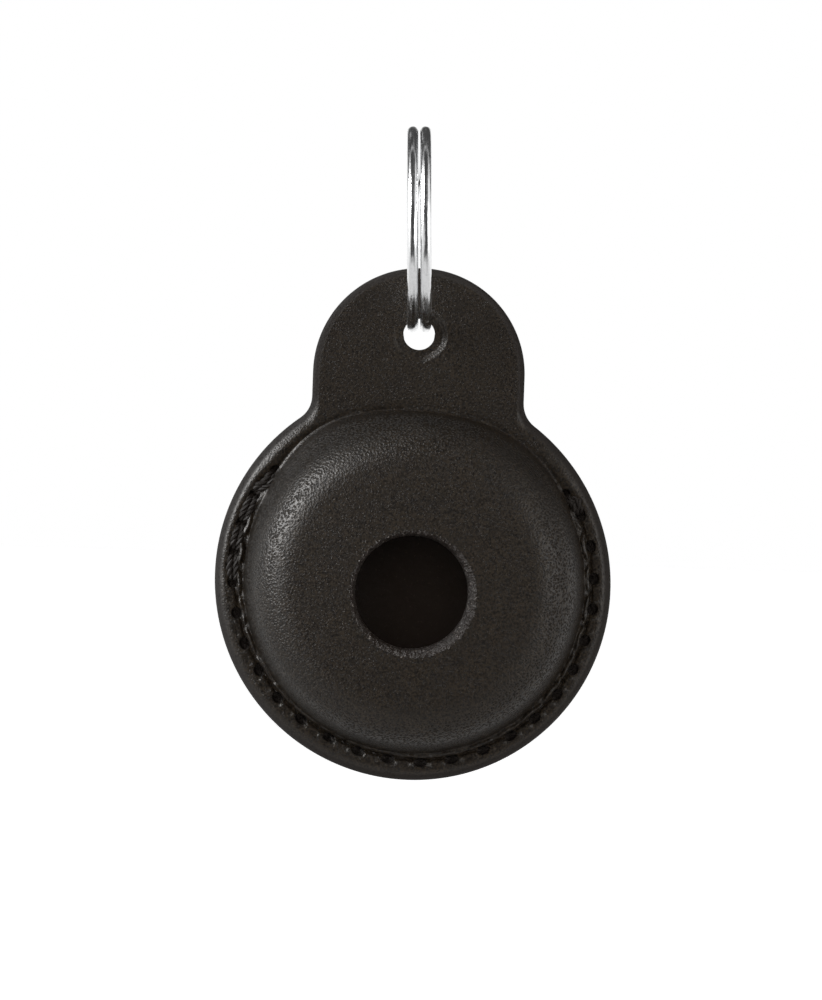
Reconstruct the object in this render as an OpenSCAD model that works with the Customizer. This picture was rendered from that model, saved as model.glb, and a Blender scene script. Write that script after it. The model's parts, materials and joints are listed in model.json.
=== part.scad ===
// Leather holder for a round tracker tag, hung on a split ring.
// Two leathers of one outline are sewn round the disc with one thread. The front leather is
// moulded to a dome. The unsewn neck under the tongue is the mouth that the tracker slides in
// by, and the split ring goes through both tongues, so it also keeps the mouth shut.
// Millimetres. +Z is up, the dome faces -Y, and the origin is the disc's centre on the plane
// where the two leathers meet.

/* [Tracker] */
// Diameter of the round tracker that the pocket is moulded for
tracker_d = 31.9; // [28:0.1:36]
// Thickness of the tracker at its middle
tracker_h = 8; // [7:0.1:10]
// Room left round the tracker and over it
tracker_play = 0.25; // [0.1:0.05:0.6]

/* [Leather] */
// Thickness of each leather
leather_t = 1.6; // [1.3:0.1:2]
// Width of the flat rim between the dome's foot and the outer edge
rim_w = 3.4; // [3:0.1:5]
// Radius of the burnished corner along each leather's outer edge
edge_r = 0.5; // [0.2:0.1:0.8]

/* [Dome] */
// Outer radius of the dome's shoulder
shoulder_r = 5.8; // [4.5:0.1:6.2]
// Radius of the large sphere that crowns the dome
crown_r = 120; // [80:5:300]
// Radius of the crease pressed in round the dome's foot
crease_r = 0.35; // [0.2:0.05:0.5]
// Diameter of the window cut in the dome
window_d = 12.2; // [8:0.1:16]
// How far the window's centre lies under the disc's centre
window_drop = 1.1; // [0:0.1:2]
// Width of the bevel round the window's outer rim
window_bevel = 0.5; // [0.2:0.1:0.8]

/* [Tongue] */
// Width of the tongue, and the diameter of its round head
tongue_w = 22.6; // [18:0.1:26]
// Height of the tongue's top over the disc's centre
tongue_top = 33.5; // [32:0.1:38]
// Radius of the hollow corner where the tongue's side runs into the disc
neck_r = 3; // [2:0.1:5]
// Diameter of the punched hole that the ring goes through
ring_hole_d = 3.4; // [3.1:0.1:4]
// Distance from the hole's centre to the tongue's top
ring_hole_inset = 7; // [5.5:0.1:7.5]
// Diameter of the dimple pressed round the hole on the front
dimple_d = 5.8; // [5:0.1:7]
// Depth of the dimple at its middle
dimple_depth = 0.35; // [0.1:0.05:0.5]

/* [Stitching] */
// Diameter of the waxed thread
thread_d = 0.7; // [0.5:0.05:0.8]
// Number of stitch holes
stitch_count = 26; // [20:1:28]
// Turn from one stitch hole to the next, in degrees
stitch_step = 10; // [9:0.5:10]
// Turn of the first hole from +X towards +Z, in degrees
stitch_first = 143; // [135:1:150]
// Distance from the line of the stitches to the outer edge
stitch_inset = 1.9; // [1.6:0.1:2]
// Room round the two strands that cross in a stitch hole
strand_play = 0.08; // [0.05:0.01:0.15]
// Radius at which the thread bends into a hole
thread_bend = 0.5; // [0.45:0.05:0.6]

/* [Split ring] */
// Outer diameter of the split ring
ring_d = 22; // [18:0.5:28]
// Diameter of its wire
wire_d = 1.2; // [1:0.05:1.25]
// Gap between its two coils
coil_gap = 0.12; // [0.08:0.02:0.2]
// Stretch of the ring in which the wire crosses from coil to coil, in degrees
jog_angle = 26; // [20:1:40]
// Where the crossing starts, in degrees from the ring's back towards its top
jog_start = 20; // [0:5:60]
// Lean of the hanging ring against the tongue, in degrees towards -X
ring_lean = 1.9; // [-5:0.1:5]
// Clearance between the ring's wire and the wall of its hole
ring_play = 0.05; // [0.03:0.01:0.1]

/* [Hidden] */
$fn = 96;

overrun = 1;       // how far a cut runs past the face that it opens
front = 1;         // the side of the seam that a strand is on, as the sign of its height
back = -1;
edge_steps = 4;    // steps in a burnished corner
bend_steps = 3;    // steps in the thread's bend into a hole
leg_steps = 4;     // steps in the half twist of the two strands in a hole
thread_sides = 6;
wire_sides = 16;
coil_steps = 45;   // steps in each coil of the ring
jog_steps = 8;     // steps in the crossing between them

// The pocket, and the dome over it. The crown's arc runs on from the shoulder's without a corner.
pocket_r = tracker_d / 2 + tracker_play;
foot_r = pocket_r + leather_t;
dome_h = tracker_h + tracker_play + leather_t;
disc_r = foot_r + rim_w;
shoulder_x = foot_r - shoulder_r;
crown_y = dome_h - crown_r;
crown_turn = acos(shoulder_x / (crown_r - shoulder_r));
shoulder_y = crown_y + (crown_r - shoulder_r) * sin(crown_turn);
window_r = window_d / 2;
window_rim = crown_y + sqrt(pow(crown_r, 2) - pow(window_r, 2));

// The tongue. Each hollow corner of the neck touches the tongue's side and the disc.
tongue_r = tongue_w / 2;
tongue_y = tongue_top - tongue_r;
neck_x = tongue_r + neck_r;
neck_y = sqrt(pow(disc_r + neck_r, 2) - pow(neck_x, 2));
neck_turn = atan2(neck_y, neck_x);
ring_hole_r = ring_hole_d / 2;
ring_hole_y = tongue_top - ring_hole_inset;
dimple_ball_r = (pow(dimple_d / 2, 2) + pow(dimple_depth, 2)) / (2 * dimple_depth);

// The seam. Two strands wind half a turn round each other in every hole.
thread_r = thread_d / 2;
strand_r = thread_r + strand_play / 2;
stitch_hole_r = strand_r + thread_r + strand_play;
groove_r = thread_r + strand_play;
stitch_r = disc_r - stitch_inset;
stitch_last = stitch_first + (stitch_count - 1) * stitch_step;
leg_h = leather_t - thread_bend;

// The ring. Its lowest wire bears on the hole's upper edge, at both faces of the leather.
wire_r = wire_d / 2;
coil_pitch = wire_d + coil_gap;
ring_r = ring_d / 2 - wire_r;
wire_rise = ring_r - sqrt(pow(ring_r, 2) - pow(leather_t, 2));
wire_seat = sqrt(pow(ring_hole_r - wire_r - ring_play, 2) - pow(coil_pitch / 2, 2)) - wire_rise;

leather_colour = "#2d2723";
thread_colour = "#40342c";
ring_colour = "#cdd0d4";

// The pieces are drawn lying on the bench, with the tongue towards +Y and the dome up.
module stand_up() rotate([90, 0, 0]) children();

function unit(v) = v / norm(v);
function backwards(list) = [for (k = [len(list) - 1:-1:0]) list[k]];

// Points on an arc, without the last one where the next arc starts on it
function arc(centre, r, from, to, steps, open = false) =
    [for (k = [0:open ? steps - 1 : steps]) let (turn = from + (to - from) * k / steps)
        [centre.x + r * cos(turn), centre.y + r * sin(turn)]];

// Tangents of a path, along the chord from each point's neighbour to the other
function tangents(path) = let (last = len(path) - 1)
    [for (k = [0:last]) unit(path[min(k + 1, last)] - path[max(k - 1, 0)])];

// The leathers' shared outline, drawn in by the inset all round. It runs from the tongue's top down
// the left and back up the right, so that its points lie in pairs at one height.
function outline(inset) = concat(
    arc([0, tongue_y], tongue_r - inset, 90, 180, 15),
    arc([-neck_x, neck_y], neck_r + inset, 0, -neck_turn, 6, open = true),
    arc([0, 0], disc_r - inset, 180 - neck_turn, 360 + neck_turn, 72, open = true),
    arc([neck_x, neck_y], neck_r + inset, 180 + neck_turn, 180, 6),
    arc([0, tongue_y], tongue_r - inset, 0, 90, 15, open = true));

// Faces that close a section in strips, each between one pair of its points and the next
function strips(count) = concat(
    [[0, 1, count - 1]],
    [for (k = [1:count / 2 - 2]) [k, k + 1, count - k - 1, count - k]],
    [[count / 2 - 1, count / 2, count / 2 + 1]]);

// Solid between sections of as many points each, the lowest first
module loft(sections) {
    count = len(sections[0]);
    last = len(sections) - 1;
    polyhedron(
        points = [for (section = sections) each section],
        faces = concat(
            strips(count),
            [for (j = [0:last - 1], k = [0:count - 1]) let (next = (k + 1) % count)
                [j * count + k, (j + 1) * count + k, (j + 1) * count + next, j * count + next]],
            [for (strip = strips(count)) [for (k = backwards(strip)) last * count + k]]),
        convexity = 10);
}

// Round bar along a path. Each section's first corner points the way that its entry in ups does.
module bar(path, ups, r, sides) {
    along = tangents(path);
    loft([for (k = [0:len(path) - 1])
        let (up = unit(ups[k] - (ups[k] * along[k]) * along[k]), side = cross(along[k], up))
        [for (n = [0:sides - 1]) let (turn = 360 * n / sides)
            path[k] + r * (cos(turn) * up + sin(turn) * side)]]);
}

// One flat leather, square at its lower face and with a burnished corner round the upper one
module leather_blank()
    loft([for (k = [-1:edge_steps])
        let (turn = 90 * max(k, 0) / edge_steps,
             height = k < 0 ? 0 : leather_t - edge_r + edge_r * sin(turn))
        [for (p = outline(edge_r * (1 - cos(turn)))) [p.x, p.y, height]]]);

// Cuts that both leathers share: the ring's hole, the stitch holes and the groove of the stitches
module shared_cuts() {
    translate([0, ring_hole_y, -overrun]) cylinder(h = leather_t + 2 * overrun, r = ring_hole_r);
    for (k = [0:stitch_count - 1])
        rotate([0, 0, stitch_first + k * stitch_step]) translate([stitch_r, 0, -overrun])
            cylinder(h = leather_t + 2 * overrun, r = stitch_hole_r, $fn = 32);
    rotate([0, 0, stitch_first]) rotate_extrude(angle = stitch_last - stitch_first)
        translate([stitch_r, leather_t]) circle(groove_r, $fn = 24);
}

// Half section of the dome, drawn in by the inset, from the given height up
module dome_section(inset, from)
    polygon(concat(
        [[0, from], [foot_r - inset, from]],
        arc([shoulder_x, shoulder_y], shoulder_r - inset, 0, crown_turn, 12, open = true),
        arc([0, crown_y], crown_r - inset, crown_turn, 90, 5)));

module front_panel()
    color(leather_colour) stand_up() difference() {
        union() {
            leather_blank();
            rotate_extrude() dome_section(0, leather_t / 2);
        }
        rotate_extrude() dome_section(leather_t, -overrun);
        rotate_extrude() translate([foot_r + crease_r / 2, leather_t]) circle(crease_r, $fn = 24);
        shared_cuts();
        translate([0, ring_hole_y, leather_t - dimple_depth + dimple_ball_r])
            sphere(dimple_ball_r);
        translate([0, -window_drop, 0]) {
            cylinder(h = dome_h + overrun, r = window_r);
            translate([0, 0, window_rim - window_bevel])
                cylinder(h = 2 * window_bevel, r1 = window_r, r2 = window_r + 2 * window_bevel);
        }
    }

module back_panel()
    color(leather_colour) stand_up() mirror([0, 0, 1]) difference() {
        leather_blank();
        shared_cuts();
    }

// A place by the seam: its distance along it from a hole, outwards from it, and over the joint
function by_seam(hole, along, out, height) =
    let (turn = stitch_first + hole * stitch_step + along / stitch_r * 180 / PI)
    [(stitch_r + out) * cos(turn), (stitch_r + out) * sin(turn), height];

// The thread's bend between its run on one side and the hole, from the run inwards. Before a hole
// it comes along the seam, and after it leaves along the seam.
function bend(hole, side, reach, onward) =
    [for (k = [0:bend_steps]) let (turn = 90 * (onward ? bend_steps - k : k) / bend_steps)
        by_seam(hole, (onward ? 1 : -1) * (reach + thread_bend * (1 - sin(turn))), 0,
            side * (leg_h + thread_bend * cos(turn)))];

// A strand's way through a hole: it comes on one side and goes on along the other
function pass(hole, side) = concat(
    bend(hole, side, strand_r, false),
    [for (k = [1:leg_steps - 1]) let (turn = 180 * k / leg_steps)
        by_seam(hole, -strand_r * cos(turn), side * strand_r * sin(turn),
            side * leg_h * (1 - 2 * k / leg_steps))],
    bend(hole, -side, strand_r, true));

// A strand from the first hole to the last, and its end drawn half way into the last one
function strand(side) = let (last = stitch_count - 1) concat(
    bend(0, side, 0, true),
    [for (k = [1:last - 1]) each pass(k, k % 2 == 1 ? side : -side)],
    bend(last, last % 2 == 1 ? side : -side, strand_r, false),
    [by_seam(last, -strand_r, 0, (last % 2 == 1 ? side : -side) * thread_r)]);

// One thread with a needle at each end: its middle fills the first hole, and its two halves then
// take turns on the front and the back
module stitching_thread() {
    path = concat(backwards(strand(back)), strand(front));
    color(thread_colour) stand_up()
        bar(path, [for (p = path) [p.x, p.y, 0]], thread_r, thread_sides);
}

// How far to the side the ring's wire lies at a turn from the ring's back
function coil_x(turn) = let (part = (turn - jog_start - 360) / jog_angle)
    coil_pitch / 2 * (part <= 0 ? -1 : part >= 1 ? 1 : -cos(180 * part));

// One wire in two coils: each end stops where the wire crosses from the first to the second
module split_ring() {
    coil = 360 - jog_angle;
    first = jog_start + jog_angle;
    turns = concat(
        [for (k = [0:coil_steps - 1]) first + coil * k / coil_steps],
        [for (k = [0:jog_steps - 1]) first + coil + jog_angle * k / jog_steps],
        [for (k = [0:coil_steps]) first + 360 + coil * k / coil_steps]);
    color(ring_colour) stand_up()
        translate([0, ring_hole_y, 0]) rotate([0, 0, ring_lean])
            translate([0, wire_seat + ring_r, 0])
                bar([for (t = turns) [coil_x(t), ring_r * sin(t), -ring_r * cos(t)]],
                    [for (t = turns) [0, sin(t), -cos(t)]], wire_r, wire_sides);
}

front_panel();
back_panel();
stitching_thread();
split_ring();
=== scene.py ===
"""A moulded leather holder for a round tracker tag, hung on a split ring.

Every piece is drawn lying on the bench: x to the right, y up the tongue, z out of the joint between
the two leathers. It is stood up last, so that the dome faces -Y and the tongue points to +Z.
"""
import json
import math
import random
from collections import namedtuple

import bmesh
import bpy
from bpy.props import (
    FloatProperty,
    FloatVectorProperty,
    IntProperty,
    PointerProperty,
)
from mathutils import Matrix, Vector, noise


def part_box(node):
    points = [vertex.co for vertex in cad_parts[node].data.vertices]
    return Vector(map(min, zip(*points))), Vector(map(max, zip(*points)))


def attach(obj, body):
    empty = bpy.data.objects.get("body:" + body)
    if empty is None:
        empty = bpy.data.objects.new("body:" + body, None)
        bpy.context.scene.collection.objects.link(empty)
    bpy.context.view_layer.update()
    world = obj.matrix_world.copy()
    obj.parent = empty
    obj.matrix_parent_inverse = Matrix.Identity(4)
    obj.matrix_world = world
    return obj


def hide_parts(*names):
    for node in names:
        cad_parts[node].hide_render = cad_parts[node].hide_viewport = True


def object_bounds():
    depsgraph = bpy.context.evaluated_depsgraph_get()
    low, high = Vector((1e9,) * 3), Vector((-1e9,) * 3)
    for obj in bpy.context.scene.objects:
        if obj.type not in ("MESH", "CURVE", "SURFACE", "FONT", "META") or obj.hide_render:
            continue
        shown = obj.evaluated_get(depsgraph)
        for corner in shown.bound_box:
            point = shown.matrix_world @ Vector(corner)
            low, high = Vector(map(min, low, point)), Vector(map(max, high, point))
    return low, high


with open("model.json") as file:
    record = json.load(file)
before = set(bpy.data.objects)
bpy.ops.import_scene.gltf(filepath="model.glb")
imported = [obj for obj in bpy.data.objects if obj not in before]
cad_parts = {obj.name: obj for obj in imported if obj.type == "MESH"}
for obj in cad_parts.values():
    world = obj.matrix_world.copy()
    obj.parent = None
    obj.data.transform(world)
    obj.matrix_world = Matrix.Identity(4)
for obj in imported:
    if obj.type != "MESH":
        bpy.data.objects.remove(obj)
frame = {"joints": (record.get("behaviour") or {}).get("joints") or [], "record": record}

bl_info = {
    "name": "Tracker Tag Holder",
    "version": (1, 0, 0),
    "blender": (4, 5, 0),
    "location": "3D View > Sidebar > Tag Holder",
    "description": "Builds a saddle-stitched leather holder for a round tracker tag, with its ring",
    "category": "Add Mesh",
}

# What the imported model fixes
CAD_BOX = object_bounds()
BACK_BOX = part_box("back_panel")
RING_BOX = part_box("split_ring")
MOUNTS = {mount["name"]: mount for mount in frame["record"]["mounts"]}
RING_HOLE = Vector(frame["joints"][0]["pos_m"])
EYE_CENTRE = Vector(MOUNTS["ring_eye"]["pos_m"])
EYE_AXIS = Vector(MOUNTS["ring_eye"]["axis"])
WINDOW_MIDDLE = Vector(MOUNTS["window"]["pos_m"]).xz
WINDOW_RADIUS = MOUNTS["window"]["dims"]["r_mm"] / 1000

STAND_UP = Matrix.Rotation(math.radians(90), 4, "X")
FULL_TURN = 2 * math.pi
TURNS = 720               # columns of faces round the disc
MM = 0.001
RIM_INSET = 0.95 * MM     # where the flat rim gives way to the worked edge
JOINT_INSET = 0.13 * MM   # how far the edge falls back at the joint between the leathers
BURNISHED = 0.45 * MM     # how far in from the edge its burnished colour is full
UNBURNISHED = 0.85 * MM   # and where it is gone
SEAM_PAST = 8 * MM        # how far past its last holes the seam still moves the leather
SEAM_SIDE = 3 * MM        # how far to its sides it does
SHARP = math.radians(48)  # faces that meet at more than this keep a sharp edge

FLAT_GAP = 1.5 * MM       # on the flat leather, how far off the seam a dome's foot would lie
WINDOW_TIGHT = 0.14 * MM  # how much tighter than its bore the soft window is
ACROSS_DRIFT = 0.8        # share of the seam's drift that goes across it
ACROSS_WANDER = 0.6       # share of a hole's wander that does
PICTURE = Vector((822, 1000))      # the picture's size in pixels
DISC_AT = Vector((412.7, 581.7))   # where the disc's centre lies in it
LOW_SPECULAR = 0.3                 # leather and wax shine less than the shader's plain 0.5

# How a stitch hole is driven in: share of its depth, how much it narrows, and whether it gets
# painted shade
HOLE_STEPS = ((0.12, 0.93, 0), (0.4, 0.92, 1), (0.48, 0.7, 1))

# How a stitch rises out of its hole: how far along the seam, and the share of its height
STITCH_RISE = ((0.16 * MM, 0.4), (0.42 * MM, 0.72), (0.78 * MM, 0.94))

# The lamps: size, power, place, and whether they light plain colour and gloss
Lamp = namedtuple("Lamp", "name size power place plain gloss")
LAMPS = (Lamp("front_box", 0.6, 2.1, (-0.05, -0.62, 0.12), True, False),
         Lamp("key_box", 0.3, 1.1, (-0.48, -0.32, 0.27), True, False),
         Lamp("sheen_box", 0.4, 8.9, (-0.53, -0.22, 0.29), False, True),
         Lamp("side_box", 0.36, 0.9, (0.5, -0.32, 0.06), True, True))

# The seed of each kind of unevenness, so that no two of them run alike
HAND_SLIPS = 7
DOME_WAVES, RIM_WAVES, FOOT_WAVES = 2, 5, 11
PULL, LIP_SIZES, CRUMPLES, FINE_CRUMPLES, HOLE_SHAPES = 3, 31, 61, 62, 77
TORN_DIMPLE, EDGE_LINE, TORN_WINDOW = 41, 51, 20
TWIST, PLY_SPREAD = 91, 93


def length(name, description, default):
    """A size in metres, for a property group"""
    return FloatProperty(name=name, description=description, default=default, unit="LENGTH",
                         precision=5)


def angle(name, description, degrees):
    """A turn, for a property group"""
    return FloatProperty(name=name, description=description, default=math.radians(degrees),
                         unit="ROTATION")


def shift(name, description, right, up):
    """A way on the bench, for a property group"""
    return FloatVectorProperty(name=name, description=description, default=(right, up), size=2,
                               subtype="TRANSLATION", unit="LENGTH")


def count(name, description, default, least):
    """A whole number, for a property group"""
    return IntProperty(name=name, description=description, default=default, min=least)


def colour(name, description, default):
    """A linear colour, for a property group"""
    return FloatVectorProperty(name=name, description=description, default=default,
                               subtype="COLOR", size=3, min=0, max=1)


def share(name, description, default):
    """A number from 0 to 1, for a property group"""
    return FloatProperty(name=name, description=description, default=default, min=0, max=1)


class LeatherSettings(bpy.types.PropertyGroup):
    """Sizes and colours of the two leathers"""

    thickness: length("Thickness", "Thickness of each leather", BACK_BOX[1].y)
    disc_radius: length("Disc radius", "Radius of the disc", BACK_BOX[1].x)
    tongue_top: length("Tongue top", "Height of the tongue over the disc's centre", BACK_BOX[1].z)
    tongue_width: length("Tongue width", "Width of the tongue", 22.6 * MM)
    neck_radius: length("Neck radius", "Radius of the hollow corner under the tongue", 3 * MM)
    long_axis: angle("Long axis", "Turn of the way in which the holder is stretched", 131)
    disc_oval: length("Disc oval", "How far the disc is stretched along its long axis", 0.1 * MM)
    edge_radius: length("Edge radius", "Radius of the burnished corner", 0.5 * MM)
    crease_inset: length("Edge line inset", "Distance of the creased line from the edge", 0.6 * MM)
    crease_depth: length("Edge line depth", "Depth of the creased line along the edge", 0.02 * MM)
    edge_fall: length("Edge fall", "How far the worked rim falls off towards the edge", 0.8 * MM)
    edge_roll: length("Edge roll", "Width of the rim that falls off", 1.6 * MM)
    pocket_radius: length("Pocket radius", "Radius of the pocket inside the dome", 16.2 * MM)
    dome_height: length("Dome height", "Height of the dome over the joint", 9.85 * MM)
    dome_radius: length("Dome radius", "Radius of the dome at its shoulder", 17.4 * MM)
    dome_oval: length("Dome oval", "How far the dome is stretched along the long axis", 0.05 * MM)
    dome_shift: shift("Dome shift", "How far the dome lies off the disc's centre",
                      0.15 * MM, -0.1 * MM)
    skirt: length("Skirt", "How far the dome's foot is drawn out over the seam's start", 0.9 * MM)
    skirt_turn: angle("Skirt turn", "Turn at which the foot is drawn out the most", 124)
    far_skirt: length("Far skirt", "How far the dome's foot is drawn out over the seam's end",
                      0.5 * MM)
    far_skirt_turn: angle("Far skirt turn", "Turn at which that foot is drawn out the most", 52)
    skirt_spread: angle("Skirt spread", "Turn over which a drawn-out foot fades away", 22)
    wall_slope: angle("Wall slope", "How far the dome's wall leans in", 15)
    shoulder_radius: length("Shoulder radius", "Radius of the dome's shoulder", 5.3 * MM)
    crown_radius: length("Crown radius", "Radius of the dome's crown", 120 * MM)
    foot_fillet: length("Foot fillet", "Radius where the dome's wall meets the rim", 0.3 * MM)
    foot_depth: length("Foot depth", "Depth of the groove pressed in round the dome", 0.12 * MM)
    window_rim: length("Window rim", "Radius of the cut window's rim on the dome", 6.7 * MM)
    window_slant: shift("Window slant", "How far the window's rim lies off its inner edge",
                        0.24 * MM, -0.24 * MM)
    window_fray: length("Window fray", "Roughness of the window's cut edge", 0.15 * MM)
    ring_hole_radius: length("Ring hole radius", "Radius of the punched hole", 1.72 * MM)
    dimple_radius: length("Dimple radius", "Radius of the dimple round the punched hole", 3.0 * MM)
    dimple_depth: length("Dimple depth", "Depth of the dimple", 0.56 * MM)
    hole_slip: shift("Hole slip", "How far the hand punch slipped when the ring's hole was made",
                     -0.19 * MM, -0.03 * MM)
    slack: length("Slack", "Height of the soft waves in the leather", 0.07 * MM)
    grain_colour: colour("Grain colour", "Colour of the leather's face", (0.0275, 0.0198, 0.0124))
    # The pit colour is the dark of the dye's own mottle and specks, and also paints shade into the
    # grain's pits
    pit_shade_and_dye_colour: colour("Pit colour", "Colour in the pits of the grain", (0.0045, 0.0031, 0.0021))
    edge_colour: colour("Edge colour", "Colour of the burnished edge", (0.0125, 0.0095, 0.0075))
    # The hole colour is painted shade deep in the stitch holes
    hole_shade_colour: colour("Hole colour", "Colour of the wax and dirt in the stitch holes",
                        (0.0125, 0.0095, 0.0078))
    # The cut colour stands for the raw fibres' own lighter colour and, on their tips, for painted
    # glints
    cut_fibre_and_glint_colour: colour("Cut colour", "Colour of the raw cut leather", (0.36, 0.32, 0.285))
    fuzz_colour: colour("Fuzz colour", "Colour deep between the raw fibres", (0.017, 0.012, 0.0092))
    flesh_colour: colour("Flesh colour", "Colour of the leather's inner side",
                         (0.057, 0.041, 0.0325))


class SeamSettings(bpy.types.PropertyGroup):
    """Sizes of the stitch holes and of what the stitching does to the leather"""

    holes: count("Holes", "Number of stitch holes", 26, 2)
    locked: count("Locked stitches", "Stitches sewn twice at the seam's start", 4, 0)
    locked_end: count("Locked at the end", "Stitches sewn twice at the seam's end", 1, 0)
    first: angle("First hole", "Turn of the first hole from the right", 142.6)
    step: angle("Step", "Turn from one hole to the next", 10.04)
    radius: length("Radius", "Radius of the seam", 19.3 * MM)
    shift: shift("Shift", "How far the seam lies off the disc's centre", 0.2 * MM, 0.1 * MM)
    wander: length("Wander", "How far a hole strays from its even place", 0.14 * MM)
    drift: length("Drift", "How far the seam drifts in slow waves", 0.26 * MM)
    drift_holes: FloatProperty(name="Drift holes", description="Holes in one wave of the drift",
                               default=14)
    end_slip: shift("End slip", "How far the last hole slips along the seam and out of it",
                    -0.9 * MM, -0.5 * MM)
    start_slip: shift("Start slip", "How far the first hole slips along the seam and out of it",
                      0.1 * MM, -0.4 * MM)
    hole_length: length("Hole length", "Length of a hole along the seam", 1.45 * MM)
    hole_width: length("Hole width", "Width of a hole across the seam", 1.12 * MM)
    hole_depth: length("Hole depth", "Depth of a hole under the leather's face", 0.85 * MM)
    groove_depth: length("Groove depth", "How deep the stitches press", 0.4 * MM)
    groove_width: length("Groove width", "Half width of the groove under one thread", 0.17 * MM)
    groove_place: length("Groove place", "How far that groove lies inside the seam", 0.3 * MM)
    locked_width: length("Locked width", "Half width of the groove under two threads", 0.66 * MM)
    lip_height: length("Lip height", "Height of the lip that swells on the dome's side of a hole",
                       0.16 * MM)
    lip_place: length("Lip place", "Distance of that lip from the hole's edge", 0.3 * MM)
    lip_width: length("Lip width", "Half width of that lip", 0.25 * MM)
    crease_depth: length("Crease depth", "Depth of the crease round that lip", 0.2 * MM)
    crease_place: length("Crease place", "Distance of that crease from the hole's edge", 0.62 * MM)
    bank_height: length("Bank height", "Height of the bank between the seam and the dome",
                        0.14 * MM)
    pillow_height: length("Pillow height", "Swelling between the seam and the edge", 0.1 * MM)
    pillow_place: length("Pillow place", "Distance of that swelling from the seam", 0.95 * MM)
    pucker: length("Pucker", "Height of the small folds at both ends of a hole", 0.16 * MM)
    crumple: length("Crumple", "Height of the fine crumples where the stitches pull the leather",
                    0.05 * MM)


class ThreadSettings(bpy.types.PropertyGroup):
    """Sizes and colours of the waxed thread"""

    diameter: length("Diameter", "Diameter of the thread", 0.7 * MM)
    lay: length("Lay", "Length of one turn of the thread's twist", 2.1 * MM)
    plies: count("Plies", "Number of plies in the thread", 3, 2)
    sunk_height: length("Sunk height", "Height of a single stitch's middle over the joint",
                        0.96 * MM)
    locked_height: length("Locked height", "Height of a double stitch's middle over the joint",
                          1.42 * MM)
    colour: colour("Colour", "Colour of the thread", (0.0255, 0.0195, 0.0155))
    wax_colour: colour("Wax colour", "Colour of the wax in the twist", (0.0125, 0.0093, 0.0073))
    # The sunk colour is painted shade on the thread where it runs deep into the leather
    sunk_shade_colour: colour("Sunk colour", "Colour of the thread deep in the leather",
                        (0.0135, 0.0103, 0.0085))


class RingSettings(bpy.types.PropertyGroup):
    """Sizes and colour of the split ring"""

    wire: length("Wire", "Diameter of the wire", 1.2 * MM)
    coil_gap: length("Coil gap", "Gap between the two coils", 0.18 * MM)
    lift: length("Lift", "How far the ring is pulled up in its hole", 0.12 * MM)
    jog: angle("Crossing", "Stretch in which the wire crosses over", 26)
    jog_start: angle("Crossing start", "Where the crossing starts, from the back", 20)
    bevel: length("Bevel", "Bevel on the wire's cut ends", 0.12 * MM)
    colour: colour("Colour", "Colour of the plating", (0.87, 0.875, 0.88))


class StageSettings(bpy.types.PropertyGroup):
    """Camera, floor and light"""

    pixel: length("Pixel", "Width of one pixel of the photograph at the leather", 0.107 * MM)
    distance: length("Distance", "Distance of the camera", 600 * MM)
    drop: length("Drop", "Height of the holder over the floor", 40 * MM)
    floor_colour: colour("Floor colour", "Colour of the floor", (0.8, 0.8, 0.8))
    room_light: share("Room light", "Plain light from all around", 0.36)
    dark_light: share("Dark light", "What shines back from the dark stand by the camera", 0.06)
    table_light: share("Table light", "What shines back from below", 0.7)
    floor_glow: share("Floor glow", "How much of the floor's white shows without light", 0.74)


class HolderSettings(bpy.types.PropertyGroup):
    """All the settings of the tag holder"""

    leather: PointerProperty(type=LeatherSettings)
    seam: PointerProperty(type=SeamSettings)
    thread: PointerProperty(type=ThreadSettings)
    ring: PointerProperty(type=RingSettings)
    stage: PointerProperty(type=StageSettings)


# Small sums


def direction(turn):
    """The way that a turn points, on the bench"""
    return Vector((math.cos(turn), math.sin(turn)))


def smooth(low, high, value):
    """0 under low, 1 over high, and a soft step between them"""
    part = min(1, max(0, (value - low) / (high - low)))
    return part * part * (3 - 2 * part)


def mound(distance, width):
    """1 in the middle of a soft ridge, falling off to both sides"""
    return math.exp(-((distance / width) ** 2))


def rough(x, y, size, seed):
    """Smooth noise from -1 to 1 with features of the given size"""
    return noise.noise(Vector((x / size, y / size, seed)))


# The leathers' outline and seam


def reach(leather, turn, inset):
    """Distance from the disc's centre to the outline, drawn in by the inset"""
    inset -= leather.disc_oval * math.cos(2 * (turn - leather.long_axis))
    half = leather.tongue_width / 2
    neck = half + leather.neck_radius
    neck_y = math.sqrt((leather.disc_radius + leather.neck_radius) ** 2 - neck**2)
    head_y = leather.tongue_top - half
    side = half - inset
    x, y = abs(math.cos(turn)), math.sin(turn)
    lean = math.atan2(y, x)
    if lean <= math.atan2(neck_y, neck):
        return leather.disc_radius - inset
    if lean <= math.atan2(neck_y, side):
        near = x * neck + y * neck_y
        return near - math.sqrt(near**2 - neck**2 - neck_y**2 + (leather.neck_radius + inset) ** 2)
    if lean <= math.atan2(head_y, side):
        return side / x
    return y * head_y + math.sqrt((y * head_y) ** 2 - head_y**2 + side**2)


def strays(seam):
    """How far each hole strays along the seam and across it: slow waves and slips of the hand"""
    random.seed(HAND_SLIPS)
    strayed = []
    for k in range(seam.holes):
        wave = FULL_TURN * k / seam.drift_holes
        along = seam.drift * math.cos(wave) + seam.wander * random.uniform(-1, 1)
        across = (ACROSS_DRIFT * seam.drift * math.cos(wave - 1)
                  + ACROSS_WANDER * seam.wander * random.uniform(-1, 1))
        strayed.append((along, across))
    for k, slip in ((0, seam.start_slip), (-1, seam.end_slip)):
        strayed[k] = (strayed[k][0] + slip[0], strayed[k][1] + slip[1])
    return strayed


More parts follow.
